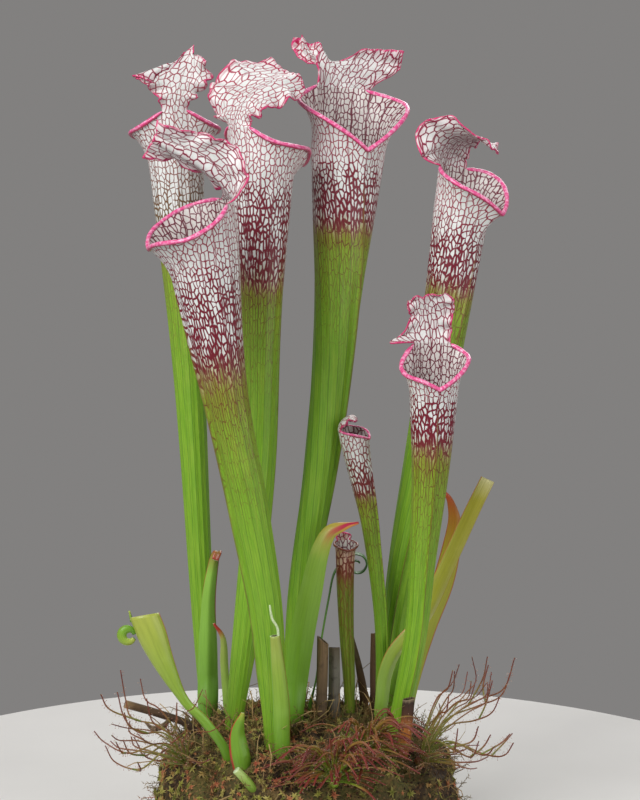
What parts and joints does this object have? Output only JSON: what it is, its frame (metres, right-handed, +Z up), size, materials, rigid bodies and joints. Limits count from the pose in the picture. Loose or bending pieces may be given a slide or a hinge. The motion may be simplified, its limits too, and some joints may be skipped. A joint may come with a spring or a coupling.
{
  "type": "white-topped pitcher plant",
  "caption": "Clump of hollow pitcher leaves with white netted tops, rolled lips and frilled lids, rising from a mound of moss and peat with small sundews; it rests on a flat underside.",
  "frame": {"origin": "middle of the mound's flat underside", "axes": "+X to the viewer's right, +Y away from the viewer, +Z up"},
  "size_m": [0.2922, 0.23, 0.5739],
  "materials": {
    "white_net": "semi-gloss living leaf, white with a dark red net above and green below",
    "leaf_green": "semi-gloss living green leaf",
    "leaf_yellow": "semi-gloss yellow-green leaf",
    "dead_leaf": "dry, dull dead leaf",
    "sundew_red": "thin red and green stalks with glossy drops",
    "rhizome_brown": "rough brown rootstock",
    "moss": "damp moss over peat"
  },
  "bodies": {
    "root": {"pitcher_back_left": "white_net", "pitcher_second": "white_net", "pitcher_centre": "white_net", "pitcher_front_left": "white_net", "pitcher_right": "white_net", "pitcher_front_right": "white_net", "pitcher_young": "white_net", "pitcher_seedling": "white_net", "leaf_hooded": "leaf_green", "leaf_keeled": "leaf_green", "leaf_red_tip": "leaf_green", "leaf_short_red": "leaf_green", "leaf_cut_tube": "leaf_green", "leaf_curled_green": "leaf_green", "leaf_folded_yellow": "leaf_yellow", "leaf_sickle": "leaf_yellow", "pitcher_cut": "leaf_yellow", "stub_pale": "leaf_yellow", "stub_grey": "dead_leaf", "stub_spike": "dead_leaf", "stub_dark": "dead_leaf", "stub_hollow_brown": "dead_leaf", "stub_holed": "dead_leaf", "stem_lying": "dead_leaf", "sundew_left": "sundew_red", "sundew_right": "sundew_red", "sundew_front": "sundew_red", "sundew_centre": "sundew_red", "rhizome": "rhizome_brown", "moss_mound": "moss"}
  },
  "joints": []
}
